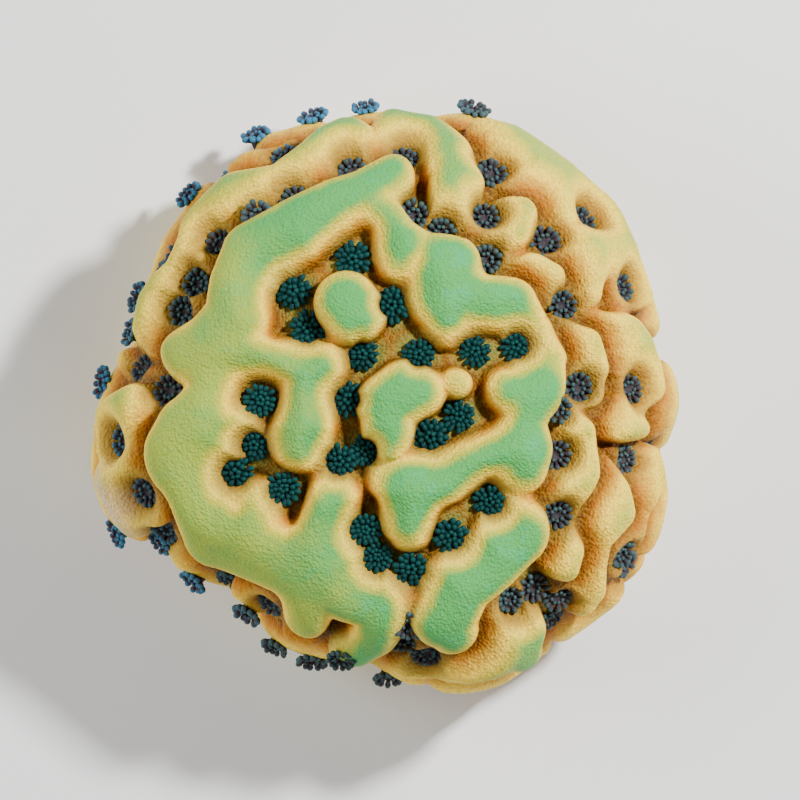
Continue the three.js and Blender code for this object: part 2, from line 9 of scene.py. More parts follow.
import bpy
import numpy as np
from mathutils import Matrix, Vector, noise


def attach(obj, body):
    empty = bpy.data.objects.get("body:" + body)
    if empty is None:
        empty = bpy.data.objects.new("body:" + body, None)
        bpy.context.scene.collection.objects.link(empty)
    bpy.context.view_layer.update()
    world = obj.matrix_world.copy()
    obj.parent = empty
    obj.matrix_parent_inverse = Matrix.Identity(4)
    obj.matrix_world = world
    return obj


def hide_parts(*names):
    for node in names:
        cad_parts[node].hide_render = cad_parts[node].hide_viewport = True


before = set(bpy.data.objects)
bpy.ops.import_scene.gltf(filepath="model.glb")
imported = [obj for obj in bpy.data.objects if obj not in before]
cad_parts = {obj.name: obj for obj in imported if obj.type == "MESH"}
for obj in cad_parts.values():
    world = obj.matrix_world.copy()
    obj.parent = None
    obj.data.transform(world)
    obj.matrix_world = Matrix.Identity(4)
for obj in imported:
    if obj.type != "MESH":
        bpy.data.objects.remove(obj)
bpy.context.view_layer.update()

bl_info = {
    "name": "Montipora colony",
    "version": (1, 0, 0),
    "blender": (4, 5, 0),
    "location": "3D View > Sidebar > Coral",
    "description": "Models a small mounded montipora coral with its tissue and polyps",
    "category": "Object",
}

MM = 0.001
COLONY_NODE = "coral_colony"

# The mound under the ridges, in millimetres
TOP_LEVEL = 9.3
WIDEST_LEVEL = 3.0
UNDERCUT = 1.7
BELOW_CUT = 1.0
# Radius of the outline seen from above, every 11.25 degrees from +X towards +Y, and how far the
# ridges stand out there from the mound
OUTLINE_RADII = [
    10.7, 10.35, 10.55, 10.8, 10.8, 10.8, 10.75, 10.3, 10.25, 10.2, 10.3, 10.15, 9.85, 9.75, 9.5,
    9.4, 10.1, 10.6, 10.75, 10.0, 9.4, 9.2, 9.7, 9.7, 9.85, 10.75, 11.2, 11.0, 11.2, 11.45,
    11.05, 10.5,
]
RIM_RELIEF = 0.95
# Squareness of the shoulder, every 22.5 degrees
SHOULDERS = [
    2.4, 2.35, 2.35, 2.4, 2.5, 2.6, 2.7, 2.75, 2.7, 2.75, 2.95, 3.1, 3.05, 2.85, 2.6, 2.45,
]
SPOKES = 360
STEPS = 400
STEEPEST = 0.5
# Where a spoke starts from the apex, and how far to each side of a place its slope is measured, in
# shares of its way down to the widest level
SPOKE_START = 1e-4
SLOPE_STEP = 0.004
# The grid of the tissue: cells along a side, and how wide those at the apex are, in shares of even
# ones
TISSUE_CELLS = 306
CROWN_DENSITY = 0.85
# Farther than any distance on the colony that counts
FAR_AWAY = 9.0
# Points nearer to the cut than this, in metres, count as lying on it
CUT_TOLERANCE = 1e-7

# Ridges of the crown: points on each ridge line seen from above, x, y, half width
CROWN_RIDGES = [
    # long left ridge, from the top round the left side to the foot
    [[0.45, 7.9, 0.75], [-0.6, 7.3, 0.8], [-1.6, 6.8, 0.95], [-3.0, 5.9, 1.15], [-4.4, 5.1, 1.2],
     [-5.0, 4.0, 1.05], [-5.1, 2.8, 1.15], [-5.9, 1.7, 1.3], [-6.0, 0.0, 0.85], [-6.6, -1.5, 1.4],
     [-6.9, -2.2, 1.5], [-6.6, -3.4, 1.05], [-5.9, -4.8, 1.3], [-4.9, -5.3, 1.2],
     [-3.4, -6.0, 1.15], [-2.0, -6.3, 1.45], [-1.0, -7.0, 1.2], [0.1, -7.5, 1.05],
     [0.0, -8.6, 0.9], [-0.7, -9.3, 0.75], [-1.1, -9.4, 0.7]],
    # its side arms, inwards and outwards
    [[-6.8, 1.4, 1.1], [-5.4, 1.5, 0.95], [-4.0, 1.3, 0.75], [-2.6, 1.1, 0.85],
     [-2.0, 1.0, 0.85]],
    [[-2.3, 1.0, 0.8], [-2.6, 0.0, 0.9], [-2.6, -0.8, 1.05], [-2.8, -1.6, 1.15]],
    [[-6.6, -1.5, 1.2], [-5.2, -1.3, 0.9]],
    [[-4.4, -3.9, 0.85], [-4.8, -5.2, 1.0]],
    [[-1.6, -3.6, 0.9], [-2.0, -5.0, 0.95], [-2.4, -6.0, 1.2]],
    [[-2.4, -6.6, 1.0], [-2.6, -8.0, 0.75]],
    # upper middle tongue and its link to the right lobe
    [[-0.3, 6.9, 0.6], [0.3, 6.3, 0.6], [0.7, 5.3, 0.95], [0.7, 4.8, 0.75]],
    [[0.7, 5.3, 0.6], [1.6, 5.3, 0.5], [2.6, 4.7, 0.95]],
    # right lobe and right ridge
    [[2.4, 4.7, 0.9], [2.2, 3.5, 1.2], [2.4, 2.8, 0.95], [2.4, 2.2, 0.5]],
    [[2.2, 3.9, 1.1], [3.5, 3.3, 1.0], [4.7, 3.2, 0.95], [5.5, 2.3, 0.75], [5.9, 1.3, 0.8],
     [5.6, 0.3, 0.9], [5.2, -0.9, 0.75], [5.0, -2.0, 1.0], [5.0, -2.7, 0.9]],
    [[5.6, 0.3, 0.9], [4.6, 0.2, 0.8]],
    # lower middle band and the saddle up to the kidney-shaped lobe
    [[5.0, -2.0, 1.0], [3.6, -2.2, 0.8], [2.4, -2.9, 0.95], [1.2, -3.2, 1.15],
     [1.0, -4.4, 0.95], [1.1, -4.9, 0.7]],
    [[1.2, -3.2, 1.1], [0.3, -2.9, 0.7]],
    [[0.6, -2.9, 0.5], [0.3, -2.0, 0.5], [0.3, -1.3, 0.7]],
    # lower right lobe
    [[4.8, -4.9, 1.25], [4.0, -5.9, 1.1], [2.7, -6.8, 1.15], [2.4, -8.0, 1.05],
     [2.7, -8.5, 0.8]],
]

# Knobs of the crown, steep all round: a kidney-shaped one, a round one and a small one
KNOBS = [
    [[0.3, -1.3, 0.75], [0.3, -0.3, 1.0], [0.9, 0.1, 1.05], [1.4, 0.1, 0.85]],
    [[-1.2, 3.3, 1.05], [-0.9, 2.9, 1.05]],
    [[2.7, 0.45, 0.45], [2.8, 0.4, 0.45]],
]

# Tier 2, half hidden under the crown's rim
SECOND_RIDGES = [
    [[-1.2, 9.2, 1.0], [-2.3, 8.6, 0.9], [-3.5, 7.6, 0.8], [-5.0, 7.2, 0.95], [-6.2, 6.2, 0.9],
     [-7.0, 5.7, 0.7], [-8.0, 4.9, 0.5], [-7.8, 4.3, 0.6], [-7.9, 3.4, 0.95], [-8.3, 2.4, 0.8],
     [-8.8, 1.8, 0.45]],
    [[-8.1, -0.5, 0.5], [-9.0, -0.6, 0.8], [-9.9, -1.2, 0.75], [-10.0, -2.0, 0.6]],
    [[-9.5, -3.2, 0.95], [-9.0, -4.2, 0.85]],
    [[0.9, -9.6, 0.5], [1.5, -10.0, 0.6], [2.6, -9.9, 0.7], [4.0, -9.3, 1.0], [4.9, -8.7, 1.2],
     [5.1, -9.3, 1.0]],
    [[6.7, -0.7, 0.5], [7.15, -1.3, 0.62], [7.2, -2.9, 0.62], [6.8, -4.0, 0.5],
     [6.6, -4.8, 0.45], [6.75, -5.6, 0.6], [6.6, -6.1, 0.62]],
    [[6.6, 2.4, 0.5], [7.3, 1.8, 0.7], [7.6, 0.8, 0.7], [7.7, 0.1, 0.5]],
    [[4.2, 5.6, 0.55], [4.65, 6.35, 0.88], [4.95, 6.35, 0.82]],
    [[4.6, 4.5, 0.4], [5.6, 4.4, 0.72], [6.05, 4.1, 0.7]],
    [[0.6, 9.9, 0.8], [1.8, 9.6, 0.75], [2.8, 8.6, 0.75], [2.9, 7.8, 0.9], [2.7, 6.8, 0.85],
     [2.9, 6.2, 0.7]],
]

# Tier 3, the outermost ridges that show from above
THIRD_RIDGES = [
    [[-9.4, 1.1, 0.65], [-9.2, 1.0, 0.6]],
    [[-8.0, -5.2, 0.5], [-7.5, -5.9, 0.5]],
    [[-5.0, -7.2, 0.5], [-4.4, -8.0, 0.5], [-4.0, -8.3, 0.3]],
    [[-3.2, -9.0, 0.4], [-2.5, -9.1, 0.4]],
    [[8.0, -2.7, 0.4], [8.45, -3.6, 0.55], [8.55, -4.4, 0.6], [7.9, -5.3, 0.45],
     [7.75, -6.2, 0.5], [7.75, -7.0, 0.55], [7.4, -7.5, 0.6]],
    [[8.8, -0.95, 0.7], [9.2, -1.1, 0.65]],
    [[8.0, 2.5, 0.55], [8.8, 2.2, 0.8], [9.3, 1.7, 0.7], [9.85, 0.8, 0.5], [9.95, 0.2, 0.5],
     [9.7, -0.15, 0.4]],
    [[4.05, 9.45, 0.75], [4.8, 9.35, 0.75], [5.85, 8.6, 0.7], [6.65, 8.0, 0.7], [6.5, 7.1, 0.5],
     [6.6, 5.9, 0.5], [7.5, 5.1, 0.7], [7.4, 4.3, 0.65], [7.5, 3.7, 0.5]],
    [[7.15, 7.65, 0.65], [8.2, 6.95, 0.65], [8.75, 6.25, 0.65], [9.05, 5.4, 0.65],
     [9.4, 4.7, 0.5], [9.75, 3.85, 0.5]],
    [[8.3, 5.5, 0.4], [7.5, 5.2, 0.5]],
    [[-3.4, 9.2, 0.55], [-4.5, 8.8, 0.45], [-5.3, 8.5, 0.4]],
    [[-6.2, 7.6, 0.35], [-6.1, 7.6, 0.35]],
]

# Tier 4, under the outermost of those on the right
FOURTH_RIDGES = [
    [[9.75, -2.4, 0.55], [9.85, -3.2, 0.6], [9.6, -3.9, 0.55]],
    [[9.25, -4.8, 0.55], [9.2, -5.6, 0.6], [8.8, -6.3, 0.55]],
]

# Tiers that wind round the flank lower down: ridges in the round, distance down the flank from
# the apex, half width, and whether polyps stand between them
FLANK_TIERS = [
    (16, 12.3, 0.68, True),
    (15, 13.8, 0.64, False),
]
FLANK_SEED = 20
# How a ridge down there differs from the next: its shift and length in shares of its pitch, then
# its slant, unevenness and width; and how far up from it the polyps between ridges stand
FLANK_SHIFT = (-0.2, 0.2)
FLANK_LENGTH = (0.45, 0.85)
FLANK_SWING = (-0.8, 0.8)
FLANK_UNEVEN = (-0.25, 0.25)
FLANK_WIDTH = (-0.12, 0.15)
FLANK_POLYP_RISE = 0.6
# A polyp between them settles in the lowest of some places on a spiral round its own
SETTLE_TRIALS = 24
SETTLE_STEP = 0.2
SETTLE_TURN = 2.4

# Distances over which the ridges change: where broad lobes dome up, where a slope dips towards a
# polyp of the crown or of a lower tier, and how narrow the wall of a knob is
DOME_EDGE = (0.5, 1.2)
CROWN_DIP = (0.5, 2.0)
TIER_DIP = (0.4, 1.4)
KNOB_WALL = (-0.15, 0.15)
# Tiers that the photograph shows; those after them are on the flank
MEASURED_TIERS = 4
# Uneven lumps of the tissue: how many to the millimetre, what share of a ridge's height they
# change, and their own height
LUMP_SCALE = 0.55
LUMP_SHARE = 0.07
LUMP_HEIGHT = 0.03
# Heights between which the tissue swells, and how it is smoothed at last
SWELL_EDGE = (0.25, 0.8)
SOFTEN_FACTOR = 0.5
SOFTEN_REPEATS = 3

CROWN_POLYPS = [
    [-3.0, 3.6], [-0.95, 4.7], [-2.5, 2.3], [-0.6, 1.4], [0.4, 3.1], [1.35, 1.4], [3.3, 1.5],
    [4.7, 1.7], [-1.1, -0.15], [2.75, -0.75], [1.75, -1.45], [-0.5, -1.95], [-1.4, -2.3],
    [-3.3, -3.2], [-5.0, -2.7], [-4.35, -1.75], [-4.15, -0.2], [-0.5, -4.65], [-0.05, -5.6],
    [1.1, -6.0], [2.45, -4.9], [3.8, -3.7],
]
TIER_POLYPS = [
    [1.2, 6.4], [2.2, 5.75], [0.9, 8.4], [-1.0, 8.0], [-3.0, 6.95], [-4.2, 6.2], [-5.7, 5.4],
    [-7.25, 5.0], [-6.5, 4.0], [-7.0, 3.0], [-3.4, 8.55], [-5.4, 8.15], [-8.5, 0.9],
    [-7.5, 0.1], [-9.15, -1.7], [-8.35, -3.45], [-7.65, -4.75], [-5.7, -6.9], [-3.85, -7.5],
    [-1.25, -8.55], [1.15, -7.9], [0.9, -8.75], [1.75, -9.25], [4.0, 7.9], [3.75, 6.3],
    [3.8, 4.8], [5.9, 5.45], [7.25, 6.25], [8.6, 3.85], [6.5, 3.2], [7.05, 0.25], [8.95, 0.2],
    [6.1, -0.45], [6.25, -2.15], [8.75, -2.35], [6.3, -4.25], [8.65, -5.7], [5.5, -6.9],
    [4.6, -7.3], [6.4, -7.25],
]
RIM_POLYPS = [
    [-6.75, 7.1], [-4.5, 9.4], [-9.1, 3.7], [-9.6, 2.4], [-10.15, 0.45], [-8.4, -5.6],
    [-9.4, -4.95], [-5.0, -8.25], [-3.65, -8.75], [-2.5, -9.75], [0.3, -9.9], [-6.6, -6.6],
    [-0.5, 10.35], [-2.4, 10.1], [3.3, 10.1],
]

# Height over the mound at which the places of the lower tiers were seen
TIER_LEVEL = 0.4

# How much of the crests' green each tier has, from the crown down to the flank
TIER_GREENS = [1.0, 0.85, 0.6, 0.55, 0.4, 0.35]
# The crests are lusher towards the right: least share, slant, and where it rises
LEAST_LUSH = 0.25
LUSH_SLANT = 0.25
LUSH_EDGE = (-5.5, 1.5)
# The lobe with a faint pinkish bloom, seen from above, and where the bloom fades round it
PINK_LOBE = (-9.2, -3.7)
PINK_EDGE = (0.6, 1.6)

# How far polyps look up: in the crown, on the tiers, at the rim and on the flank
CROWN_LIFT = 0.1
TIER_LIFT = 0.45
RIM_LIFT = 0.45
FLANK_LIFT = 0.2
# How far a polyp stands off the tissue, and the levels at which the flank's bulge is looked for
STAND_OFF = 0.05
BULGE_LEVELS = (2.2, 5.6, 12)
PROBE_START = 20
# Cycles of tentacles, in shares of the polyp's radius: how many, where they root, their length,
# thickness and lean. Polyps of the crown have fine fingers, the others a ring of knobs.
CROWN_CYCLES = (
    (14, 0.3, 0.72, 0.17, 1.42),
    (10, 0.2, 0.52, 0.16, 1.05),
    (5, 0.08, 0.38, 0.15, 0.5),
)
TIER_CYCLES = (
    (12, 0.38, 0.62, 0.18, 1.05),
    (7, 0.22, 0.36, 0.14, 0.55),
)
# How far open the polyps of each kind are, and the seeds of their draws
OPENNESS = (1.0, 0.85, 0.7)
CROWN_SEED = 5
TIER_SEED = 9
PLACING_SEED = 3
# A tentacle's faces round and along, its slim foot, where it thickens, what counts as its pole,
# and the pieces of its bend
TENTACLE_FACES = 7
TENTACLE_FOOT = 0.62
TENTACLE_NECK = (0.3, 0.62)
POLE_WIDTH = 1e-6
BEND_STEPS = 32
# How much farther a tentacle leans at its tip, and how tentacles differ from each other
DROOP = 0.35
TENTACLE_LENGTH = (0.88, 1.1)
TENTACLE_GIRTH = (0.92, 1.08)
TENTACLE_LEAN = (-0.1, 0.1)
TENTACLE_SHIFT = (-0.18, 0.18)
# The body of a polyp: its faces round and along, then in shares of the polyp's radius its half
# width, depth, rim and hollow, and where and how much its edge is paler
BODY_FACES = (16, 9)
BODY_WIDTH = 0.42
BODY_DEPTH = 0.9
BODY_RIM = 0.1
BODY_HOLLOW = 0.22
BODY_EDGE = (0.5, 1.0)
BODY_TINT = 0.25
# How polyps differ from each other: tilt, size, turn in radians and depth of tone
POLYP_TILT = (-0.12, 0.12)
POLYP_SIZE = (0.92, 1.08)
POLYP_TURN = (0, 6.28)
POLYP_TONE = (0.85, 1.0)
# Where polyps turn blue: towards the upper left, and out from the middle
BLUE_SLANT = 0.4
BLUE_LEFT = (0.0, 4.0)
BLUE_OUT = (8.4, 10.0)

# The view from straight above, in millimetres: middle of the picture, its width, the distance
VIEW_CENTRE = (0.714, -0.179)
VIEW_WIDTH = 28.57
VIEW_DISTANCE = 420.0
SENSOR = 36.0
# Studio lamps: name, place and side in millimetres, and power in watts
LAMPS = (
    ("key", (80, 55, 105), 14, 0.46),
    ("fill", (-115, 15, 65), 100, 0.2),
    ("front", (60, -120, 60), 90, 0.08),
)
LAMP_AIM = (0, 0, 5)
WORLD_STRENGTH = 0.12
FLOOR_SIZE = 600


def colour_property(name, description, default):
    return bpy.props.FloatVectorProperty(
        name=name, description=description, subtype="COLOR", size=4, min=0.0, max=1.0,
        default=default)


def length_property(name, description, default):
    return bpy.props.FloatProperty(name=name, description=description, default=default, min=0.0)


class ColonySizes(bpy.types.PropertyGroup):
    """Sizes of the ridges, valleys and polyps, in millimetres."""

    inset: length_property("Inset", "How far the mound lies inside the carved solid, mm", 0.1)
    ridge_height: length_property("Ridge height", "Height of the ridges over the valleys, mm", 1.12)
    round_edge: length_property("Round edge", "Width of the ridges' rounded edge, mm", 0.78)
    crest_ease: length_property("Crest ease", "Softness of the line along each crest, mm", 0.3)
    crest_dome: length_property("Crest dome", "Extra height in the middle of broad lobes, mm", 0.08)
    inward: length_property("Inward", "How distances count on the inner slope of a tier", 0.55)
    seam: length_property("Seam", "Share of its height that a tier has under the one above", 0.3)
    terrace: length_property("Terrace", "Distance in which it rises to its full height, mm", 0.95)
    shade_depth: length_property("Shade depth", "How dark the seam between two tiers is", 0.1)
    shade_rise: length_property("Shade rise", "How quickly a tier brightens from its seam", 0.6)
    flank: length_property("Flank", "Share of their height that the ridges lower down have", 0.8)
    fillet: length_property("Fillet", "Fillet where two ridges meet, mm", 0.4)
    spread: length_property("Spread", "How much wider than their measured lines ridges are, mm", 0.16)
    swell: length_property("Swell", "How far the tissue swells out over the valleys, mm", 0.1)
    pit_radius: length_property("Pit radius", "Radius of the pit that a polyp stands in, mm", 0.4)
    dip: length_property("Dip", "Share of the height left where a slope meets a polyp", 0.55)
    bowl: length_property("Bowl", "The same beside a polyp of the lower tiers", 0.62)
    polyp_radius: length_property("Polyp radius", "Radius of a polyp's open crown, mm", 0.64)


class ColonyColours(bpy.types.PropertyGroup):
    """Colours of the tissue and the polyps."""

    crest_green: colour_property("Crest", "Green of the broad crests", (0.02, 0.32, 0.075, 1))
    mint: colour_property("Mint", "Paler green in the middle of the crests", (0.03, 0.37, 0.13, 1))
    olive: colour_property("Olive", "Yellow green at the edge of the crests", (0.36, 0.4, 0.025, 1))
    # Own cream of the rims, made brighter as a painted highlight along them
    rim_cream_and_highlight: colour_property("Rim", "Cream of the rounded rims", (1.0, 0.68, 0.05, 1))
    # Own orange of the slopes, made darker as painted shade so that the rims stand out
    slope_orange_and_shade: colour_property("Slope", "Orange of the slopes", (0.43, 0.13, 0.003, 1))
    # Own brown of the valley floors, kept dark as painted shade in the narrow valleys
    valley_brown_and_shade: colour_property("Valley", "Brown of the valley floors", (0.2, 0.075, 0.002, 1))
    # Painted shadow: the dark contact shadow at the foot of the walls
    seam_shadow: colour_property("Seam", "Dark foot of the walls", (0.07, 0.02, 0.001, 1))
    # Painted sheen: a pale highlight on the tops of the fine wrinkles
    sheen: colour_property("Sheen", "Pale tops of the fine wrinkles", (0.95, 0.85, 0.35, 1))
    # Painted shade in the creases between the fine wrinkles
    crease_shade: colour_property("Crease", "Creases between the wrinkles", (0.4, 0.24, 0.02, 1))
    pink_bloom: colour_property("Bloom", "Faint pink of one lobe", (0.75, 0.5, 0.42, 1))
    polyp_teal: colour_property("Polyp", "Teal of the polyps", (0.001, 0.02, 0.02, 1))
    polyp_tip: colour_property("Tip", "Lighter teal of the tentacle tips", (0.002, 0.05, 0.047, 1))
    flank_polyp: colour_property("Flank polyp", "Purple brown of the polyps lower down",
                                 (0.045, 0.03, 0.038, 1))
    slate_tip: colour_property("Slate tip", "Slate of their tentacle tips", (0.05, 0.095, 0.1, 1))
    flank_tip: colour_property("Flank tip", "Blue of their tentacle tips", (0.03, 0.17, 0.3, 1))
    floor: colour_property("Floor", "Pale floor", (0.8, 0.8, 0.79, 1))
    floor_mottle: colour_property("Mottle", "Darker mottling of the floor", (0.7, 0.7, 0.69, 1))


def sizes():
    return bpy.context.scene.colony_sizes


def colours():
    return bpy.context.scene.colony_colours


def seeded_random(seed):
    """The same draws every time: a number between two limits."""
    state = [seed]

    def draw(low, high):
        state[0] = (state[0] * 1664525 + 1013904223) % 4294967296
        return low + (high - low) * state[0] / 4294967296

    return draw


def around(values, angle):
    """A value given round the colony, eased between its neighbours."""
    table = np.array(values)
    n = len(table)
    place = (angle / (2 * np.pi) * n) % n
    k = np.floor(place).astype(int) % n
    f = place - np.floor(place)
    before, start = table[(k - 1) % n], table[k]
    end, after = table[(k + 1) % n], table[(k + 2) % n]
    curve = 2 * before - 5 * start + 4 * end - after + f * (3 * (start - end) + after - before)
    return start + 0.5 * f * (end - before + f * curve)


def outline(angle, t):
    """Radius and level on the mound: a superellipse down to the widest level, then an undercut."""
    widest = around(OUTLINE_RADII, angle) - RIM_RELIEF - sizes().inset
    top = TOP_LEVEL - sizes().inset
    power = 2 / around(SHOULDERS, angle)
    turn = np.clip(t, 0, 1) * np.pi / 2
    upper_radius = widest * np.sin(turn) ** power
    upper_level = WIDEST_LEVEL + (top - WIDEST_LEVEL) * np.maximum(np.cos(turn), 0) ** power
    down = np.maximum(t - 1, 0)
    lower_radius = widest - UNDERCUT * down ** 2
    lower_level = WIDEST_LEVEL - (WIDEST_LEVEL + BELOW_CUT) * down
    above = t <= 1
    return np.where(above, upper_radius, lower_radius), np.where(above, upper_level, lower_level)


class Mound:
    """The smooth mound, read by map place: the view from above, opened out on the steep flank."""

    def __init__(self):
        step = 2 * np.pi / SPOKES
        angle, t = np.meshgrid(np.arange(SPOKES) * step, np.linspace(0, 2, STEPS + 1), indexing="ij")
        t = np.maximum(t, SPOKE_START)
        radius, level = outline(angle, t)
        low = outline(angle, np.maximum(t - SLOPE_STEP, 0))
        high = outline(angle, t + SLOPE_STEP)
        left, right = outline(angle + step, t), outline(angle - step, t)
        down = np.stack([high[0] - low[0], np.zeros_like(t), high[1] - low[1]], -1)
        along = np.stack([left[0] - right[0], 2 * step * radius, left[1] - right[1]], -1)
        normal = np.cross(down, along)
        normal /= np.linalg.norm(normal, axis=-1, keepdims=True)
        height = sizes().ridge_height
        lifted_radius = radius + height * normal[..., 0]
        lifted_level = level + height * normal[..., 2]
        outward = np.diff(lifted_radius, axis=1)
        length = np.hypot(outward, np.diff(lifted_level, axis=1))
        reach = np.zeros_like(radius)
        reach[:, 1:] = np.cumsum(np.maximum(outward, STEEPEST * length), axis=1)
        self.columns = np.concatenate([radius[..., None], level[..., None], normal], -1)
        self.reach = reach
        self.rim = reach[:, -1]
        self.even = np.stack([self.resample(i) for i in range(SPOKES)])

    def resample(self, i):
        places = np.linspace(0, self.rim[i], STEPS + 1)
        return np.stack([np.interp(places, self.reach[i], c) for c in self.columns[i].T], -1)

    def rim_reach(self, angle):
        place = (angle / (2 * np.pi) * SPOKES) % SPOKES
        k = np.floor(place).astype(int) % SPOKES
        f = place - np.floor(place)
        return self.rim[k] * (1 - f) + self.rim[(k + 1) % SPOKES] * f

    def at(self, x, y):
        """Points and outward normals under map places."""
        angle = np.arctan2(y, x) % (2 * np.pi)
        place = angle / (2 * np.pi) * SPOKES
        k = np.floor(place).astype(int) % SPOKES
        f = (place - np.floor(place))[..., None]
        down = np.clip(np.hypot(x, y) / self.rim_reach(angle), 0, 1) * STEPS
        j = np.minimum(np.floor(down).astype(int), STEPS - 1)
        g = (down - j)[..., None]
        near = self.even[k, j] * (1 - g) + self.even[k, j + 1] * g
        next_k = (k + 1) % SPOKES
        far = self.even[next_k, j] * (1 - g) + self.even[next_k, j + 1] * g
        radius, level, out, side, up = np.moveaxis(near * (1 - f) + far * f, -1, 0)
        c, s = np.cos(angle), np.sin(angle)
        point = np.stack([radius * c, radius * s, level], -1)
        normal = np.stack([out * c - side * s, out * s + side * c, up], -1)
        return point, normal / np.linalg.norm(normal, axis=-1, keepdims=True)

    def map_place(self, x, y, height):
        """The map place of something seen from above at x, y, this high over the mound."""
        angle = math.atan2(y, x) % (2 * math.pi)
        i = int(round(angle / (2 * math.pi) * SPOKES)) % SPOKES
        half = STEPS // 2
        seen = self.columns[i, :half, 0] + height * self.columns[i, :half, 2]
        reach = np.interp(math.hypot(x, y), np.maximum.accumulate(seen), self.reach[i, :half])
        return [reach * math.cos(angle), reach * math.sin(angle)]


def flank_ridges():
    """Ridges and polyp places of the tiers lower down, drawn in the same way each time."""
    draw = seeded_random(FLANK_SEED)
    tiers, places = [], []
    for tier, (count, reach, half_width, polyps) in enumerate(FLANK_TIERS):
        pitch = 2 * math.pi / count
        ridges = []
        for i in range(count):
            middle = (i + 0.5 * (tier % 2) + draw(*FLANK_SHIFT)) * pitch
            span = draw(*FLANK_LENGTH) * pitch
            swing = draw(*FLANK_SWING)
            ridge = []
            for side in (-0.5, 0, 0.5):
                angle = middle + side * span
                out = reach + side * swing + draw(*FLANK_UNEVEN)
                width = half_width + draw(*FLANK_WIDTH)
                ridge.append([out * math.cos(angle), out * math.sin(angle), width])
            ridges.append(ridge)
            if polyps:
                gap = middle + 0.5 * pitch
                above = reach - FLANK_POLYP_RISE
                places.append([above * math.cos(gap), above * math.sin(gap)])
        tiers.append(ridges)
    return tiers, places


def inside_ridge(x, y, ridge, inward=1.0):
    """How far inside one ridge's edge map places lie; below zero they are in a valley. Distances
    towards the middle of the colony count by the given share."""
    ease, spread = sizes().crest_ease, sizes().spread
    best = np.full(np.shape(x), -np.inf)
    for (x0, y0, r0), (x1, y1, r1) in zip(ridge, ridge[1:]):
        dx, dy = x1 - x0, y1 - y0
        t = np.clip(((x - x0) * dx + (y - y0) * dy) / (dx * dx + dy * dy), 0, 1)
        half = r0 + (r1 - r0) * t + spread
        middle_x, middle_y = x0 + t * dx, y0 + t * dy
        away_x, away_y = x - middle_x, y - middle_y
        in_x, in_y = -middle_x, -middle_y
        ahead = (away_x * in_x + away_y * in_y) / np.hypot(in_x, in_y)
        away = np.sqrt(away_x ** 2 + away_y ** 2 - (1 - inward ** 2) * np.maximum(ahead, 0) ** 2)
        best = np.maximum(best, np.hypot(half, ease) - np.hypot(away, ease))
    return best


def join_softly(a, b, fillet):
    near = np.maximum(fillet - np.abs(a - b), 0) / fillet
    return np.maximum(a, b) + near * near * fillet / 4


def smooth_step(value, low, high):
    t = np.clip((value - low) / (high - low), 0, 1)
    return t * t * (3 - 2 * t)


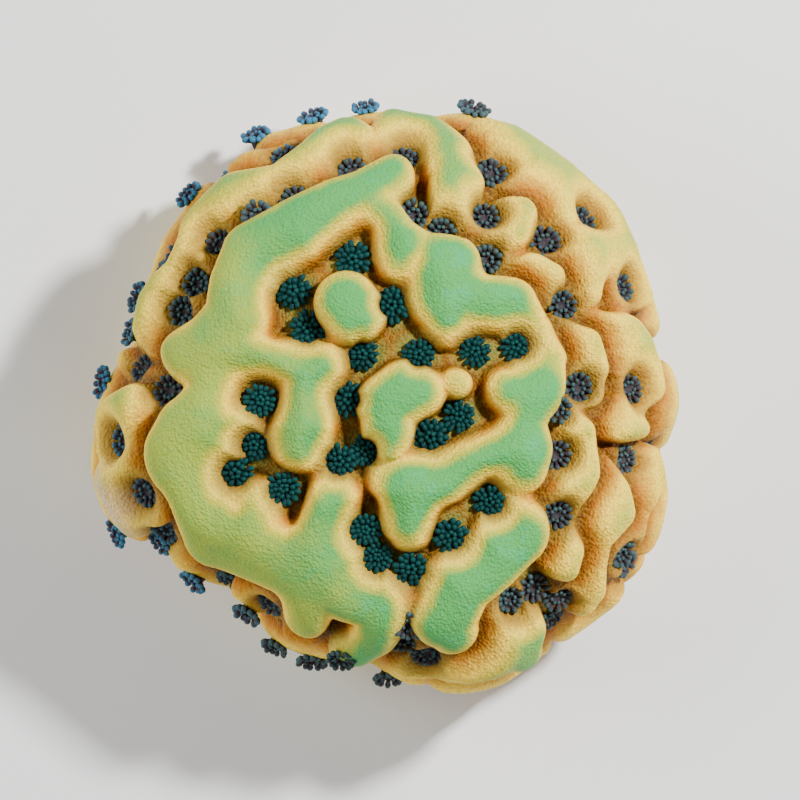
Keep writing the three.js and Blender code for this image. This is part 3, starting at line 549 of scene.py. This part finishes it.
class Colony:
    """The carved surface: how far inside the ridges a map place is, and how high it stands."""

    def __init__(self):
        self.mound = Mound()
        flank, flank_places = flank_ridges()
        self.tiers = [[*CROWN_RIDGES, *KNOBS], SECOND_RIDGES, THIRD_RIDGES, FOURTH_RIDGES, *flank]
        self.pits = [self.mound.map_place(x, y, 0) for x, y in CROWN_POLYPS]
        self.tier_places = [self.mound.map_place(x, y, TIER_LEVEL) for x, y in TIER_POLYPS]
        self.flank_places = [self.settle(place) for place in flank_places]

    def inside_land(self, x, y, crown_polyp=FAR_AWAY, tier_polyp=FAR_AWAY):
        """How far inside the nearest ridge's edge a map place is, the same for the colours with
        painted shade darkening them in the seams under the tier above, and the ridge's tier. The crown
        leaves room for its own polyps only."""
        size = sizes()
        land = np.full(np.shape(x), -np.inf)
        edge_with_shade = land
        owner = np.zeros(np.shape(x))
        for tier, ridges in enumerate(self.tiers):
            inward = size.inward if tier else 1
            edge = inside_ridge(x, y, ridges[0], inward)
            for ridge in ridges[1:]:
                edge = join_softly(edge, inside_ridge(x, y, ridge, inward), size.fillet)
            if tier == 0:
                edge = np.minimum(edge, crown_polyp - size.pit_radius)
                shade = edge
            else:
                # Painted shade: the colours darken towards the seam under the tier above and beside
                # its polyps
                shade = np.minimum(edge, size.shade_rise * (-land) - size.shade_depth)
                shade = np.minimum(shade, size.shade_rise * (tier_polyp - size.pit_radius))
                share = size.seam + (1 - size.seam) * smooth_step(-land, 0, size.terrace)
                share = np.where(land < 0, share, 0)
                edge = np.minimum(edge, size.round_edge * (1 - np.sqrt(1 - share ** 2)))
                edge = np.minimum(edge, tier_polyp - size.pit_radius)
            owner = np.where(edge > land, tier, owner)
            edge_with_shade = np.where(edge > land, shade, edge_with_shade)
            land = np.maximum(land, edge)
        return land, edge_with_shade, owner

    def settle(self, place):
        """A place for a polyp in the lowest valley close by."""
        turns = np.arange(SETTLE_TRIALS) * SETTLE_TURN
        away = SETTLE_STEP * np.sqrt(np.arange(SETTLE_TRIALS))
        x = place[0] + away * np.cos(turns)
        y = place[1] + away * np.sin(turns)
        lowest = int(np.argmin(self.inside_land(x, y)[0]))
        return [x[lowest], y[lowest]]

    def height(self, x, y, point):
        """Height over the mound, how far inside a ridge the colours take the place to be, with painted
        shade in the seams and beside the polyps of the lower tiers, its tier, and how near a polyp is."""
        size = sizes()
        crown_polyp = self.distance(self.pits, point)
        tier_polyp = self.distance([*self.tier_places, *self.flank_places], point)
        near = np.minimum(crown_polyp, tier_polyp)
        land, edge_with_shade, owner = self.inside_land(x, y, crown_polyp, tier_polyp)
        inside = np.clip(land / size.round_edge, 0, 1)
        height = size.ridge_height * np.sqrt(1 - (1 - inside) ** 2)
        height += size.crest_dome * smooth_step(land, *DOME_EDGE)
        knob = np.max([inside_ridge(x, y, ridge) for ridge in KNOBS], axis=0)
        slope = size.dip + (1 - size.dip) * smooth_step(crown_polyp, *CROWN_DIP)
        slope += (1 - slope) * smooth_step(knob, *KNOB_WALL)
        bowl = size.bowl + (1 - size.bowl) * smooth_step(tier_polyp, *TIER_DIP)
        slope *= np.where(owner > 0, bowl, 1)
        slope *= np.where(owner >= MEASURED_TIERS, size.flank, 1)
        return height * slope, np.where(edge_with_shade > 0, edge_with_shade * slope, edge_with_shade), owner, near

    def distance(self, places, point):
        """Distance from each point of the mound to the nearest of some places."""
        away = np.full(point.shape[:-1], FAR_AWAY)
        for x, y in places:
            spot, _ = self.mound.at(np.array(x), np.array(y))
            away = np.minimum(away, np.linalg.norm(point - spot, axis=-1))
        return away


def select_only(*pieces):
    bpy.ops.object.select_all(action="DESELECT")
    for piece in pieces:
        piece.select_set(True)
    bpy.context.view_layer.objects.active = pieces[0]


def added(name):
    """The object that the last operator added, renamed."""
    piece = bpy.context.object
    piece.name = name
    piece.data.name = name
    return piece


def points_of(piece):
    points = np.empty(3 * len(piece.data.vertices))
    piece.data.vertices.foreach_get("co", points)
    return points.reshape(-1, 3)


def move_points(piece, points):
    piece.data.vertices.foreach_set("co", np.ascontiguousarray(points, dtype=float).ravel())
    piece.data.update()


def normals_of(piece):
    normals = np.empty(3 * len(piece.data.vertices))
    piece.data.vertex_normals.foreach_get("vector", normals)
    return normals.reshape(-1, 3)


def set_values(piece, name, values):
    layer = piece.data.attributes.new(name, "FLOAT", "POINT")
    layer.data.foreach_set("value", np.ascontiguousarray(values, dtype=float))


def soften(piece, factor, repeats):
    select_only(piece)
    smooth = piece.modifiers.new("soften", "SMOOTH")
    smooth.factor = factor
    smooth.iterations = repeats
    bpy.ops.object.modifier_apply(modifier=smooth.name)


def disc_from_square(u, v):
    """Spread a square grid over a disc, ring by ring."""
    wide = np.abs(u) > np.abs(v)
    ring = np.where(wide, u, v)
    safe_u = np.where(u == 0, 1, u)
    safe_v = np.where(v == 0, 1, v)
    turn = np.where(wide, np.pi / 4 * v / safe_u, np.pi / 2 - np.pi / 4 * u / safe_v)
    return ring * np.cos(turn), ring * np.sin(turn)


class Wire:
    """A shader socket that can be written into Python expressions."""

    def __init__(self, shader, socket):
        self.shader = shader
        self.socket = socket

    def maths(self, operation, *values):
        return self.shader.node("ShaderNodeMath", {"operation": operation}, values)

    def __add__(self, other):
        return self.maths("ADD", self, other)

    def __radd__(self, other):
        return self.maths("ADD", other, self)

    def __sub__(self, other):
        return self.maths("SUBTRACT", self, other)

    def __rsub__(self, other):
        return self.maths("SUBTRACT", other, self)

    def __mul__(self, other):
        return self.maths("MULTIPLY", self, other)

    def __rmul__(self, other):
        return self.maths("MULTIPLY", other, self)

    def ease(self, low, high):
        """0 below low, 1 above high, smooth between them."""
        return self.shader.node("ShaderNodeMapRange", {"interpolation_type": "SMOOTHSTEP"},
                                {"Value": self, "From Min": low, "From Max": high}, "Result")


class Shader:
    """A material's node tree, with short ways to add to it."""

    def __init__(self, name):
        self.material = bpy.data.materials.new(name)
        self.material.use_nodes = True
        self.tree = self.material.node_tree
        self.surface = self.tree.nodes["Principled BSDF"]

    def feed(self, slot, value):
        if isinstance(value, Wire):
            self.tree.links.new(value.socket, slot)
        else:
            slot.default_value = value

    def node(self, kind, settings=None, inputs=None, output=0):
        """Any node: its type, its settings, then the values or links of its sockets."""
        made = self.tree.nodes.new(kind)
        for name, value in (settings or {}).items():
            setattr(made, name, value)
        if isinstance(inputs, dict):
            for name, value in inputs.items():
                self.feed(made.inputs[name], value)
        else:
            for slot, value in zip(made.inputs, inputs or ()):
                self.feed(slot, value)
        return Wire(self, made.outputs[output])

    def attribute(self, name):
        return self.node("ShaderNodeAttribute", {"attribute_name": name}, output="Fac")

    def place(self, scale):
        """Object coordinates, stretched by a factor for each axis."""
        place = self.node("ShaderNodeTexCoord", output="Object")
        return self.node("ShaderNodeVectorMath", {"operation": "MULTIPLY"}, (place, scale))

    def grain(self, per_mm, detail=2.0, roughness=0.5, offset=0.0):
        """Noise with this many lumps to the millimetre."""
        spread = (per_mm / MM,) * 3
        shifted = self.node("ShaderNodeVectorMath", {"operation": "ADD"},
                            (self.place(spread), (offset,) * 3))
        return self.node("ShaderNodeTexNoise", {},
                         {"Vector": shifted, "Scale": 1.0, "Detail": detail, "Roughness": roughness},
                         "Fac")

    def scales(self, inside, per_mm, across_per_mm):
        """Rows of small scales along the contours of the ridges: 0 on a scale, 1 in its crease."""
        return self.node("ShaderNodeTexVoronoi", {"voronoi_dimensions": "4D"},
                         {"Vector": self.place((per_mm / MM,) * 3), "W": inside * across_per_mm,
                          "Scale": 1.0, "Randomness": 0.9}, "Distance")

    def blend(self, factor, first, second):
        """A colour between two others."""
        return self.node("ShaderNodeMix", {"data_type": "RGBA"},
                         {"Factor": factor, "A": first, "B": second}, "Result")

    def bump(self, height, distance, strength=1.0):
        return self.node("ShaderNodeBump", {}, {"Strength": strength, "Distance": distance,
                                                "Height": height}, "Normal")


def tissue_material():
    """Living tissue: green crests, cream rims with a painted highlight, orange slopes and brown
    valleys with painted shade, a painted contact shadow at the foot of the walls, and fine wrinkles
    with painted shade in their creases and a painted sheen on their tops.
    """
    paint = colours()
    shader = Shader("coral_tissue")
    # The inside attribute also carries the painted shade of the seams between tiers
    inside = shader.attribute("inside")
    green = shader.attribute("green")
    lush = shader.attribute("lush")
    pink = shader.attribute("pink")
    near = shader.attribute("near")
    cloud = shader.grain(0.9, detail=4.0, roughness=0.6)
    speck = shader.grain(5.5, detail=3.0, roughness=0.65, offset=7.0)
    wander = inside + 0.22 * (cloud - 0.5) + 0.1 * (speck - 0.5)
    # The ramp from valley to crest paints shade low on the walls and a highlight along the rims, over
    # the tissue's own colours
    floor_to_slope = wander.ease(-0.3, 0.12)
    slope_to_lit_rim = wander.ease(0.05, 0.33)
    rim_to_olive = wander.ease(0.24, 0.44) * green
    olive_to_crest = wander.ease(0.36, 0.62) * green
    crest_to_mint = (cloud + 0.5 * (speck - 0.5)).ease(0.5, 0.75) * wander.ease(0.5, 0.85) * green
    yellowing = (shader.grain(0.45, detail=3.0, roughness=0.6, offset=3.0) - lush).ease(-0.2, 0.4)
    crest = shader.blend(yellowing * 0.75, paint.crest_green, paint.olive)
    # Wide valleys are lightened; the narrow ones keep the dark brown as painted shade
    wide_valley = 1 - (inside + 0.3 * (cloud - 0.5)).ease(-1.1, -0.4)
    # A painted contact shadow in a narrow band at the foot of each wall
    wall = inside + 0.08 * (speck - 0.5)
    foot = wall.ease(-0.22, -0.04) * (1 - wall.ease(-0.02, 0.12))
    halo = 1 - near.ease(0.6, 1.15)
    scales = shader.scales(inside, 8.5, 10.0)
    # Painted shade in the creases between the scales, less on the green crests
    crease_shading = scales.ease(0.45, 0.9) * (0.4 - 0.32 * olive_to_crest)
    # Painted sheen on the tops of the scales, strongest on the rims
    tops = scales.ease(0.45, 0.15) * (0.03 + 0.14 * slope_to_lit_rim - 0.1 * olive_to_crest)
    # Layers over the valley floor: how much each covers, and its colour
    layers = (
        (floor_to_slope, paint.slope_orange_and_shade),
        (wide_valley * 0.5, paint.rim_cream_and_highlight),
        (slope_to_lit_rim, paint.rim_cream_and_highlight),
        (rim_to_olive * 0.8, paint.olive),
        (olive_to_crest * 0.92, crest),
        (crest_to_mint * lush, paint.mint),
        (halo * green * 0.3, paint.crest_green),
        (foot * 0.8, paint.seam_shadow),
        (pink * 0.6, paint.pink_bloom),
        (crease_shading, paint.crease_shade),
        (tops, paint.sheen),
    )
    base = paint.valley_brown_and_shade
    for share, colour in layers:
        base = shader.blend(share, base, colour)
    shader.feed(shader.surface.inputs["Base Color"], base)
    shader.feed(shader.surface.inputs["Roughness"], 0.5 + 0.12 * cloud)
    shader.surface.inputs["Specular IOR Level"].default_value = 0.12
    shader.surface.inputs["Subsurface Weight"].default_value = 0.03
    shader.surface.inputs["Subsurface Scale"].default_value = 0.3 * MM
    shader.surface.inputs["Subsurface Radius"].default_value = (1.0, 0.5, 0.2)
    fine = shader.grain(9.0, detail=2.0, roughness=0.6, offset=5.0)
    relief = 0.3 * fine + 0.4 * speck - scales
    shader.feed(shader.surface.inputs["Normal"], shader.bump(relief, 0.055 * MM))
    return shader.material


def polyp_material():
    """Soft polyps: deep teal with lighter tips on the crown, bluer and greyer lower down."""
    paint = colours()
    shader = Shader("polyp_tissue")
    along = shader.attribute("along")
    tone = shader.attribute("tone")
    cloud = shader.grain(6.0, detail=2.0)
    tip = (along + 0.35 * (cloud - 0.5)).ease(0.45, 1.0)
    crown = shader.blend(tip, paint.polyp_teal, paint.polyp_tip)
    blue_tip = shader.blend(shader.attribute("blue"), paint.slate_tip, paint.flank_tip)
    flank = shader.blend(tip, paint.flank_polyp, blue_tip)
    shader.feed(shader.surface.inputs["Base Color"], shader.blend(tone, crown, flank))
    shader.feed(shader.surface.inputs["Roughness"], 0.5 + 0.2 * cloud)
    shader.surface.inputs["Specular IOR Level"].default_value = 0.1
    shader.surface.inputs["Subsurface Weight"].default_value = 0.1
    shader.surface.inputs["Subsurface Scale"].default_value = 0.1 * MM
    shader.feed(shader.surface.inputs["Normal"], shader.bump(cloud, 0.01 * MM))
    return shader.material


def finish_piece(piece, material):
    piece.data.materials.clear()
    piece.data.materials.append(material)
    select_only(piece)
    bpy.ops.object.shade_smooth()
    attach(piece, "root")
    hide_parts(COLONY_NODE)


class CORAL_OT_tissue(bpy.types.Operator):
    """Model the mound with its winding ridges, and cut it flat underneath"""

    bl_idname = "coral.tissue"
    bl_label = "Coral tissue"

    def execute(self, context):
        colony = Colony()
        bpy.ops.object.select_all(action="DESELECT")
        bpy.ops.mesh.primitive_grid_add(x_subdivisions=TISSUE_CELLS, y_subdivisions=TISSUE_CELLS,
                                        size=2)
        tissue = added("coral_tissue")
        x, y = self.spread(points_of(tissue), colony.mound)
        point, normal = colony.mound.at(x, y)
        height, land, owner, near = colony.height(x, y, point)
        lumps = np.array([noise.noise(Vector(p) * LUMP_SCALE) for p in point])
        height = height * (1 + LUMP_SHARE * lumps) + LUMP_HEIGHT * lumps
        move_points(tissue, (point + normal * height[:, None]) * MM)
        lush = smooth_step(x + LUSH_SLANT * y, *LUSH_EDGE)
        pink_place = colony.mound.map_place(*PINK_LOBE, TIER_LEVEL)
        # The colours' distance inside a ridge, with the painted shade of the seams
        set_values(tissue, "inside", land)
        set_values(tissue, "green", np.array(TIER_GREENS)[owner.astype(int)])
        set_values(tissue, "near", near)
        set_values(tissue, "lush", LEAST_LUSH + (1 - LEAST_LUSH) * lush)
        set_values(tissue, "pink", 1 - smooth_step(colony.distance([pink_place], point), *PINK_EDGE))
        swell = sizes().swell * smooth_step(height, *SWELL_EDGE)
        move_points(tissue, points_of(tissue) + normals_of(tissue) * swell[:, None] * MM)
        soften(tissue, SOFTEN_FACTOR, SOFTEN_REPEATS)
        self.cut_flat(tissue)
        finish_piece(tissue, tissue_material())
        return {"FINISHED"}

    def spread(self, square, mound):
        """Map places for the points of the square grid, closer together in the crown."""
        u, v = disc_from_square(square[:, 0], square[:, 1])
        share = np.hypot(u, v)
        share = CROWN_DENSITY * share + (1 - CROWN_DENSITY) * share ** 2
        angle = np.arctan2(v, u) % (2 * np.pi)
        reach = share * mound.rim_reach(angle)
        return reach * np.cos(angle), reach * np.sin(angle)

    def cut_flat(self, tissue):
        """Cut the colony off where it rests, and close the cut."""
        select_only(tissue)
        bpy.ops.object.mode_set(mode="EDIT")
        bpy.ops.mesh.select_all(action="SELECT")
        bpy.ops.mesh.bisect(plane_co=(0, 0, 0), plane_no=(0, 0, 1), use_fill=True,
                            clear_inner=True, clear_outer=False, threshold=CUT_TOLERANCE)
        bpy.ops.mesh.select_all(action="SELECT")
        bpy.ops.mesh.normals_make_consistent(inside=False)
        bpy.ops.object.mode_set(mode="OBJECT")


def make_tentacle():
    """One tentacle along +Z: a slim stem and a rounded tip."""
    bpy.ops.object.select_all(action="DESELECT")
    bpy.ops.mesh.primitive_uv_sphere_add(segments=TENTACLE_FACES, ring_count=TENTACLE_FACES,
                                         radius=1.0)
    tentacle = added("tentacle")
    points = points_of(tentacle)
    along = (points[:, 2] + 1) / 2
    across = np.hypot(points[:, 0], points[:, 1])
    girth = TENTACLE_FOOT + (1 - TENTACLE_FOOT) * smooth_step(along, *TENTACLE_NECK)
    girth *= np.sqrt(np.clip(1 - (2 * along - 1) ** 4, 0, 1))
    points[:, :2] *= np.where(across > POLE_WIDTH, girth / np.maximum(across, POLE_WIDTH), 0)[:, None]
    points[:, 2] = along
    move_points(tentacle, points)
    set_values(tentacle, "along", along)
    return tentacle


def copy_piece(piece, name):
    twin = piece.copy()
    twin.data = piece.data.copy()
    twin.name = name
    bpy.context.collection.objects.link(twin)
    return twin


def bend_tentacle(piece, length, girth, lean, droop):
    """Give a tentacle its length and thickness, and curve it outwards along +X."""
    points = points_of(piece)
    along = points[:, 2].copy()
    turn = lean + droop * along
    steps = np.linspace(0, 1, BEND_STEPS + 1)
    step_turn = lean + droop * steps[:-1]
    centre_x, centre_z = (
        np.interp(along, steps, np.concatenate([[0], np.cumsum(way(step_turn) / BEND_STEPS)]) * length)
        for way in (np.sin, np.cos))
    side = points[:, 0] * girth
    moved = np.stack([centre_x + side * np.cos(turn), points[:, 1] * girth,
                      centre_z - side * np.sin(turn)], -1)
    move_points(piece, moved)


def make_polyp(tentacle, name, cycles, openness, seed):
    """A polyp on the origin, facing +Z, one millimetre for each unit of its radius."""
    draw = seeded_random(seed)
    bpy.ops.object.select_all(action="DESELECT")
    around_body, along_body = BODY_FACES
    bpy.ops.mesh.primitive_uv_sphere_add(segments=around_body, ring_count=along_body, radius=1.0)
    body = added(name)
    points = points_of(body)
    across, level = np.hypot(points[:, 0], points[:, 1]), points[:, 2]
    dish = 2 * BODY_RIM - BODY_HOLLOW * (1 - across) ** 2 + BODY_RIM * level
    points[:, 2] = np.where(level > 0, dish, BODY_DEPTH * level)
    points[:, :2] *= BODY_WIDTH
    move_points(body, points)
    set_values(body, "along", BODY_TINT * smooth_step(across, *BODY_EDGE))
    parts = [body]
    for count, ring, length, girth, lean in cycles:
        for i in range(count):
            twin = copy_piece(tentacle, f"{name}_tentacle")
            tilt = lean * openness + draw(*TENTACLE_LEAN)
            bend_tentacle(twin, length * draw(*TENTACLE_LENGTH), girth * draw(*TENTACLE_GIRTH), tilt,
                          DROOP * openness)
            turn = (i + draw(*TENTACLE_SHIFT)) * 2 * math.pi / count + ring
            place = Matrix.Rotation(turn, 4, "Z") @ Matrix.Translation((ring, 0, BODY_RIM))
            twin.data.transform(place)
            parts.append(twin)
    select_only(*parts)
    bpy.ops.object.join()
    return bpy.context.object


def make_kinds(tentacle, name, cycles, seed):
    """Polyps of one kind, open more and less."""
    return [make_polyp(tentacle, f"{name}_{i}", cycles, openness, seed + i)
            for i, openness in enumerate(OPENNESS)]


class CORAL_OT_polyps(bpy.types.Operator):
    """Model the polyps and stand them in the valleys, on the tiers and round the rim"""

    bl_idname = "coral.polyps"
    bl_label = "Polyps"

    def execute(self, context):
        colony = Colony()
        tentacle = make_tentacle()
        crown_kinds = make_kinds(tentacle, "crown_polyp", CROWN_CYCLES, CROWN_SEED)
        tier_kinds = make_kinds(tentacle, "tier_polyp", TIER_CYCLES, TIER_SEED)
        material = polyp_material()
        draw = seeded_random(PLACING_SEED)
        # Each group's name, kinds, places, and how far its colour is from the crown's teal
        groups = (
            ("polyps_crown", crown_kinds, self.stands(colony, colony.pits, CROWN_LIFT), 0.0),
            ("polyps_tiers", tier_kinds, self.stands(colony, colony.tier_places, TIER_LIFT), 0.8),
            ("polyps_rim", tier_kinds, self.rim_stands(), 1.0),
            ("polyps_flank", tier_kinds, self.stands(colony, colony.flank_places, FLANK_LIFT), 0.85),
        )
        for name, kinds, stands, tone in groups:
            group = self.placed(name, kinds, stands, tone, draw)
            finish_piece(group, material)
        for piece in (tentacle, *crown_kinds, *tier_kinds):
            bpy.data.objects.remove(piece)
        return {"FINISHED"}

    def placed(self, name, kinds, stands, tone, draw):
        """One group of polyps, each a little different, joined into one mesh."""
        twins = []
        for where, axis in stands:
            twin = copy_piece(kinds[int(draw(0, len(kinds) - 0.01))], name)
            tilt = Vector((draw(*POLYP_TILT), draw(*POLYP_TILT), 0))
            turned = (axis + tilt).normalized().to_track_quat("Z", "Y").to_matrix().to_4x4()
            radius = sizes().polyp_radius * draw(*POLYP_SIZE) * MM
            place = (Matrix.Translation(where) @ turned @ Matrix.Rotation(draw(*POLYP_TURN), 4, "Z")
                     @ Matrix.Diagonal((radius, radius, radius, 1)))
            twin.data.transform(place)
            set_values(twin, "tone", np.full(len(twin.data.vertices), tone * draw(*POLYP_TONE)))
            twins.append(twin)
        select_only(*twins)
        bpy.ops.object.join()
        group = bpy.context.object
        points = points_of(group) / MM
        left = smooth_step(BLUE_SLANT * points[:, 1] - points[:, 0], *BLUE_LEFT)
        out = smooth_step(np.hypot(points[:, 0], points[:, 1]), *BLUE_OUT)
        set_values(group, "blue", left * out)
        group.name = name
        group.data.name = name
        return group

    def stands(self, colony, places, upward):
        """Where polyps stand in the valleys, and which way they face."""
        stands = []
        for px, py in places:
            x, y = np.array(px), np.array(py)
            point, normal = colony.mound.at(x, y)
            height = float(colony.height(x, y, point)[0])
            where = Vector(point + normal * (height + STAND_OFF)) * MM
            stands.append((where, Vector(normal) + Vector((0, 0, upward))))
        return stands

    def rim_stands(self):
        """The same for polyps that stand out past the rim, on the bulge of the flank."""
        tissue = bpy.data.objects["coral_tissue"]
        stands = []
        for x, y in RIM_POLYPS:
            outward = Vector((x, y, 0)).normalized()
            hits = []
            for level in np.linspace(*BULGE_LEVELS):
                start = outward * PROBE_START * MM + Vector((0, 0, level)) * MM
                found, where, _, _ = tissue.ray_cast(start, -outward)
                if found:
                    hits.append(where)
            where = max(hits, key=lambda hit: hit.dot(outward))
            stands.append((where, outward + Vector((0, 0, RIM_LIFT))))
        return stands


def area_light(name, where, size, power):
    """A square studio lamp that faces the colony."""
    lamp = bpy.data.lights.new(name, "AREA")
    lamp.size = size * MM
    lamp.energy = power
    holder = bpy.data.objects.new(name, lamp)
    bpy.context.collection.objects.link(holder)
    holder.location = Vector(where) * MM
    aim = Vector(LAMP_AIM) * MM - holder.location
    holder.rotation_euler = aim.to_track_quat("-Z", "Y").to_euler()


def stage_material():
    shader = Shader("floor")
    mottle = shader.grain(0.05, detail=2.0)
    shader.feed(shader.surface.inputs["Base Color"],
                shader.blend(mottle * 0.1, colours().floor, colours().floor_mottle))
    shader.surface.inputs["Roughness"].default_value = 0.8
    return shader.material


class CORAL_OT_stage(bpy.types.Operator):
    """Lay the pale floor, and set up the lamps and the camera straight above"""

    bl_idname = "coral.stage"
    bl_label = "Floor, lamps and camera"

    def execute(self, context):
        bpy.ops.object.select_all(action="DESELECT")
        bpy.ops.mesh.primitive_plane_add(size=FLOOR_SIZE * MM)
        floor = added("floor")
        floor.data.materials.append(stage_material())
        for lamp in LAMPS:
            area_light(*lamp)
        world = bpy.data.worlds.new("studio")
        world.use_nodes = True
        background = world.node_tree.nodes["Background"]
        background.inputs["Color"].default_value = (1, 1, 1, 1)
        background.inputs["Strength"].default_value = WORLD_STRENGTH
        context.scene.world = world
        camera = bpy.data.cameras.new("camera")
        camera.sensor_width = SENSOR
        camera.lens = SENSOR * VIEW_DISTANCE / VIEW_WIDTH
        camera.clip_start = 1 * MM
        camera.clip_end = 10
        holder = bpy.data.objects.new("camera", camera)
        context.collection.objects.link(holder)
        holder.location = Vector((*VIEW_CENTRE, VIEW_DISTANCE)) * MM
        context.scene.camera = holder
        return {"FINISHED"}


class CORAL_PT_colony(bpy.types.Panel):
    """Sizes, colours and the making of each piece"""

    bl_idname = "CORAL_PT_colony"
    bl_label = "Montipora colony"
    bl_space_type = "VIEW_3D"
    bl_region_type = "UI"
    bl_category = "Coral"

    def draw(self, context):
        for group in (context.scene.colony_sizes, context.scene.colony_colours):
            for name in group.__annotations__:
                self.layout.prop(group, name)
        for operator in OPERATORS:
            self.layout.operator(operator.bl_idname)


OPERATORS = (CORAL_OT_tissue, CORAL_OT_polyps, CORAL_OT_stage)
CLASSES = (ColonySizes, ColonyColours, *OPERATORS, CORAL_PT_colony)


def register():
    for kind in CLASSES:
        bpy.utils.register_class(kind)
    bpy.types.Scene.colony_sizes = bpy.props.PointerProperty(type=ColonySizes)
    bpy.types.Scene.colony_colours = bpy.props.PointerProperty(type=ColonyColours)


def unregister():
    del bpy.types.Scene.colony_sizes
    del bpy.types.Scene.colony_colours
    for kind in reversed(CLASSES):
        bpy.utils.unregister_class(kind)


def main():
    register()
    bpy.ops.coral.tissue()
    bpy.ops.coral.polyps()
    bpy.ops.coral.stage()


if __name__ == "__main__":
    main()
